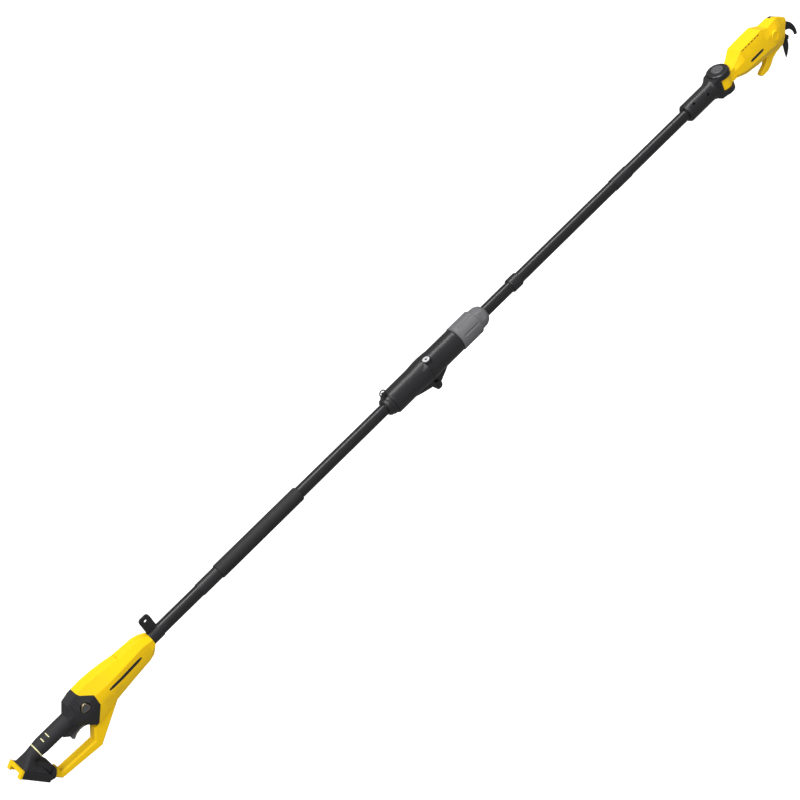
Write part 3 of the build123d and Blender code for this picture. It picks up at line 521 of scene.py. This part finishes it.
triggerEdge = [(0.0835, -0.0405), (0.0760, -0.0365), (0.0710, -0.0354), (0.0660, -0.0350), (0.0600, -0.0360),
               (0.0550, -0.0375), (0.0500, -0.0408), (0.0465, -0.0430)]
for side, label in ((-1, "near"), (1, "far")):
    ribbon("trigger_line_" + label, triggerEdge, side * 0.0069, side * 0.00715, 0.0016, "trigger", "gold")
ribbon("bay_mark_rear", [(0.0450, -0.0228), (0.0464, -0.0190)], -0.0122, -0.0127, 0.0017, "handle", "gold")
ribbon("bay_mark_front", [(0.0690, -0.0232), (0.0716, -0.0196)], -0.0122, -0.0127, 0.0017, "handle", "gold")


# lock-off button: a rounded triangle with a lacquered rim

button = {"x": 0.100, "z": 0.011, "outer": -0.0285, "inner": -0.018, "radius": 0.0099, "swing": 0.09, "turn": 200.0,
          "rim": 0.0016, "hollow": 0.0006}


def makeButton(c):
    rings = [(1.0, c["inner"]), (1.0, c["outer"] + 0.0012), (0.96, c["outer"] + 0.0003), (0.90, c["outer"]),
             (1 - c["rim"] / c["radius"], c["outer"]), (0.80, c["outer"] + c["hollow"]), (0.40, c["outer"] + 0.0002)]
    shape = bmesh.new()
    loops = []
    for scale, y in rings:
        loop = []
        for i in range(72):
            turn = 2 * pi * i / 72
            reach = c["radius"] * scale * (1 + c["swing"] * cos(3 * (turn - radians(c["turn"]))))
            loop.append(shape.verts.new((c["x"] + reach * cos(turn), y, c["z"] + reach * sin(turn))))
        loops.append(loop)
    for level in range(len(loops) - 1):
        for i in range(72):
            k = (i + 1) % 72
            face = shape.faces.new((loops[level][i], loops[level][k], loops[level + 1][k], loops[level + 1][i]))
            face.material_index = 1 if level >= 4 else 0
            face.smooth = True
    shape.faces.new(loops[-1]).material_index = 1
    shape.faces.new(loops[0])
    bmesh.ops.recalc_face_normals(shape, faces=shape.faces)
    mesh = bpy.data.meshes.new("soft_lock_off_button")
    shape.to_mesh(mesh)
    shape.free()
    piece = addPiece("soft_lock_off_button", mesh, "lock_off", None)
    mesh.materials.append(paints["gold"])
    mesh.materials.append(paints["midGrey"])
    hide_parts("lock_off_button")


makeButton(button)
print("marks and button ready")


# repeated detail, grown with geometry nodes

def newGroup(name, inputs):
    tree = bpy.data.node_groups.new(name, "GeometryNodeTree")
    tree.interface.new_socket("Geometry", in_out="OUTPUT", socket_type="NodeSocketGeometry")
    for label, kind in inputs:
        tree.interface.new_socket(label, in_out="INPUT", socket_type=kind)
    return tree, tree.nodes.new("NodeGroupInput"), tree.nodes.new("NodeGroupOutput")


def finishGroup(tree, source, mesh, ends):
    whole = tree.nodes.new("GeometryNodeRealizeInstances")
    dress = tree.nodes.new("GeometryNodeSetMaterial")
    tree.links.new(mesh, whole.inputs[0])
    tree.links.new(whole.outputs[0], dress.inputs["Geometry"])
    tree.links.new(source.outputs["Material"], dress.inputs["Material"])
    tree.links.new(dress.outputs[0], ends.inputs[0])


def rowGroup():
    tree, source, ends = newGroup("rowOfBlocks", [("Count", "NodeSocketInt"), ("Step", "NodeSocketVector"),
                                                  ("Size", "NodeSocketVector"), ("Material", "NodeSocketMaterial")])
    line = tree.nodes.new("GeometryNodeMeshLine")
    block = tree.nodes.new("GeometryNodeMeshCube")
    spread = tree.nodes.new("GeometryNodeInstanceOnPoints")
    tree.links.new(source.outputs["Count"], line.inputs["Count"])
    tree.links.new(source.outputs["Step"], line.inputs["Offset"])
    tree.links.new(source.outputs["Size"], block.inputs["Size"])
    tree.links.new(line.outputs[0], spread.inputs["Points"])
    tree.links.new(block.outputs[0], spread.inputs["Instance"])
    finishGroup(tree, source, spread.outputs[0], ends)
    return tree


def dotGroup():
    tree, source, ends = newGroup("fieldOfDots", [("Count", "NodeSocketInt"), ("Width", "NodeSocketFloat"),
                                                  ("Limit", "NodeSocketFloat"), ("Dot", "NodeSocketFloat"),
                                                  ("Material", "NodeSocketMaterial")])
    grid = tree.nodes.new("GeometryNodeMeshGrid")
    dot = tree.nodes.new("GeometryNodeMeshIcoSphere")
    dot.inputs["Subdivisions"].default_value = 2
    place = tree.nodes.new("GeometryNodeInputPosition")
    reach = tree.nodes.new("ShaderNodeVectorMath")
    reach.operation = "LENGTH"
    beyond = tree.nodes.new("FunctionNodeCompare")
    beyond.data_type, beyond.operation = "FLOAT", "GREATER_THAN"
    trim = tree.nodes.new("GeometryNodeDeleteGeometry")
    spread = tree.nodes.new("GeometryNodeInstanceOnPoints")
    for slot in ("Vertices X", "Vertices Y"):
        tree.links.new(source.outputs["Count"], grid.inputs[slot])
    for slot in ("Size X", "Size Y"):
        tree.links.new(source.outputs["Width"], grid.inputs[slot])
    tree.links.new(source.outputs["Dot"], dot.inputs["Radius"])
    tree.links.new(place.outputs[0], reach.inputs[0])
    tree.links.new(reach.outputs["Value"], beyond.inputs[0])
    tree.links.new(source.outputs["Limit"], beyond.inputs[1])
    tree.links.new(grid.outputs[0], trim.inputs["Geometry"])
    tree.links.new(beyond.outputs[0], trim.inputs["Selection"])
    tree.links.new(trim.outputs[0], spread.inputs["Points"])
    tree.links.new(dot.outputs[0], spread.inputs["Instance"])
    finishGroup(tree, source, spread.outputs[0], ends)
    return tree


def ringGroup():
    tree, source, ends = newGroup("ringOfBlocks", [("Count", "NodeSocketInt"), ("Radius", "NodeSocketFloat"),
                                                   ("Size", "NodeSocketVector"), ("Material", "NodeSocketMaterial")])
    ring = tree.nodes.new("GeometryNodeMeshCircle")
    ring.fill_type = "NONE"
    block = tree.nodes.new("GeometryNodeMeshCube")
    place = tree.nodes.new("GeometryNodeInputPosition")
    aim = tree.nodes.new("FunctionNodeAlignEulerToVector")
    aim.axis = "X"
    spread = tree.nodes.new("GeometryNodeInstanceOnPoints")
    tree.links.new(source.outputs["Count"], ring.inputs["Vertices"])
    tree.links.new(source.outputs["Radius"], ring.inputs["Radius"])
    tree.links.new(source.outputs["Size"], block.inputs["Size"])
    tree.links.new(place.outputs[0], aim.inputs["Vector"])
    tree.links.new(ring.outputs[0], spread.inputs["Points"])
    tree.links.new(block.outputs[0], spread.inputs["Instance"])
    tree.links.new(aim.outputs[0], spread.inputs["Rotation"])
    finishGroup(tree, source, spread.outputs[0], ends)
    return tree


def grow(name, tree, values, matrix, body):
    piece = bpy.data.objects.new(name, bpy.data.meshes.new(name))
    bpy.context.scene.collection.objects.link(piece)
    nodes = piece.modifiers.new("nodes", "NODES")
    nodes.node_group = tree
    for item in tree.interface.items_tree:
        if item.in_out == "INPUT":
            nodes[item.identifier] = values[item.name]
    bpy.context.view_layer.update()
    settle(piece)
    piece.data.transform(matrix)
    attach(piece, body)
    return piece


rows, dots, ringsOf = rowGroup(), dotGroup(), ringGroup()
tiltAt = jointAt("head_tilt")
for side, label in ((-1, "near"), (1, "far")):
    grow("vent_shadow_" + label, rows, {"Count": 6, "Step": (0.012, 0, 0), "Size": (0.0078, 0.0012, 0.0024),
                                        "Material": paints["black"]},
         Matrix.Translation(tiltAt + Vector((0.077, side * 0.0205, 0.0371))), "head")
grow("tilt_button_dots", dots, {"Count": 15, "Width": 0.0266, "Limit": 0.0126, "Dot": 0.00062,
                                "Material": paints["grey"]},
     Matrix.Translation(tiltAt + Vector((0, 0, 0.0344))), "tilt_button")
collarAt = jointAt("collar_twist")
turnToPole = Matrix.Rotation(pi / 2, 4, "Y")
grow("collar_ribs", ringsOf, {"Count": 32, "Radius": 0.0286, "Size": (0.0012, 0.0012, 0.003),
                              "Material": paints["grey"]},
     Matrix.Translation(Vector((collarAt.x - 0.0455, 0, 0))) @ turnToPole, "lock_collar")
print("repeated detail ready")


# ground edge of the cutting blade, and a black disc of painted shade in the release button's dimple

boltAt = jointAt("blade_cut")


def arcPoint(first, middle, last, t):
    # point of the circle through three (x, z) points, t from 0 to 1
    ax, az = first
    bx, bz = middle
    cx, cz = last
    d = 2 * (ax * (bz - cz) + bx * (cz - az) + cx * (az - bz))
    ux = ((ax * ax + az * az) * (bz - cz) + (bx * bx + bz * bz) * (cz - az) + (cx * cx + cz * cz) * (az - bz)) / d
    uz = ((ax * ax + az * az) * (cx - bx) + (bx * bx + bz * bz) * (ax - cx) + (cx * cx + cz * cz) * (bx - ax)) / d
    centre = Vector((ux, uz))
    start, end = Vector(first) - centre, Vector(last) - centre
    turn = start.angle_signed(end)
    spin = Matrix.Rotation(-turn * t, 2)
    return centre, centre + spin @ start


# arc: the blade's cutting curve from the bolt's centre; face, lift, root: y of the edge, its back and its foot
edgeLine = {"arc": ((0.008, -0.002), (0.005, -0.032), (-0.012, -0.053)), "from": 0.12, "share": 0.84, "steps": 24,
            "width": 0.0022, "face": -0.00332, "lift": -0.00342, "root": -0.0030}


def groundEdge(c):
    outer, inner = [], []
    steps = c["steps"]
    for i in range(steps + 1):
        centre, p = arcPoint(*c["arc"], c["from"] + c["share"] * i / steps)
        inwards = (centre - p).normalized()
        width = c["width"] * min(1.0, (steps - i) / 5 + 0.15)
        rowOut, rowIn = [], []
        for q, y in ((p + inwards * 0.0001, c["face"]), (p + inwards * width, c["lift"])):
            rowOut.append(Vector((boltAt.x + q.x, y, boltAt.z + q.y)))
            rowIn.append(Vector((boltAt.x + q.x, c["root"], boltAt.z + q.y)))
        outer.append(rowOut)
        inner.append(rowIn)
    return addPiece("ground_edge", gridSolid("ground_edge", outer, inner), "blade", "edge")


groundEdge(edgeLine)

# painted shade: a thin black disc that stands for the shade inside the release button's dimple, not the button's own
# colour
dimpleShade = {"x": 1.1512, "y": -0.013, "top": 0.0308, "bottom": 0.0300, "radius": 0.0028, "steps": 32}


def makeDimple(c):
    levels = []
    for z in (c["top"], c["bottom"]):
        level = []
        for i in range(c["steps"]):
            turn = 2 * pi * i / c["steps"]
            level.append([Vector((c["x"] + r * cos(turn), c["y"] + r * sin(turn), z)) for r in (0.0001, c["radius"])])
        levels.append(level)
    mesh = gridSolid("release_dimple_shade", levels[0], levels[1], True)
    return addPiece("release_dimple_shade", mesh, "release", "black")


makeDimple(dimpleShade)
print("edge and dimple ready")
